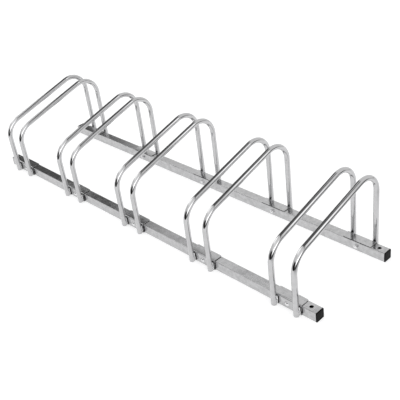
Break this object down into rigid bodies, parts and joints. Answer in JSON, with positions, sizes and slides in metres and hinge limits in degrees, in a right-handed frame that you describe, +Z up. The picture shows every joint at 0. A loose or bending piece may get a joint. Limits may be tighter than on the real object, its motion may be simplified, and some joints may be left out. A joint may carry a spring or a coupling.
{
  "type": "floor bike rack",
  "caption": "Low floor rack for bicycles: pairs of bent tube hoops stand on two square rails, and a front wheel is held between the tubes of each pair.",
  "frame": {"origin": "on the floor at the middle of the rack", "axes": "+X along the rails, +Y from the front rail, where the wheel rolls in, to the rear rail, +Z up"},
  "size_m": [1.3, 0.338, 0.2415],
  "materials": {
    "rail_zinc": "bright zinc plate, drawn lengthwise",
    "hoop_zinc": "bright zinc plate on smooth tube",
    "bracket_zinc": "bright zinc plate on folded sheet",
    "weld_metal": "zinc plated weld bead",
    "fastener_zinc": "zinc plate",
    "cap_plastic": "moulded, fine matte"
  },
  "bodies": {
    "root": {"front_rail": "rail_zinc", "front_left_cap": "cap_plastic", "front_right_cap": "cap_plastic", "front_bracket_1": "bracket_zinc", "front_bracket_2": "bracket_zinc", "front_bracket_3": "bracket_zinc", "front_bracket_4": "bracket_zinc", "front_bracket_5": "bracket_zinc", "front_welds": "weld_metal", "front_bolts": "fastener_zinc", "front_nuts": "fastener_zinc", "rear_rail": "rail_zinc", "rear_left_cap": "cap_plastic", "rear_right_cap": "cap_plastic", "rear_bracket_1": "bracket_zinc", "rear_bracket_2": "bracket_zinc", "rear_bracket_3": "bracket_zinc", "rear_bracket_4": "bracket_zinc", "rear_bracket_5": "bracket_zinc", "rear_welds": "weld_metal", "rear_bolts": "fastener_zinc", "rear_nuts": "fastener_zinc", "hoop_1_left": "hoop_zinc", "hoop_1_right": "hoop_zinc", "hoop_2_left": "hoop_zinc", "hoop_2_right": "hoop_zinc", "hoop_3_left": "hoop_zinc", "hoop_3_right": "hoop_zinc", "hoop_4_left": "hoop_zinc", "hoop_4_right": "hoop_zinc", "hoop_5_left": "hoop_zinc", "hoop_5_right": "hoop_zinc"}
  },
  "joints": []
}
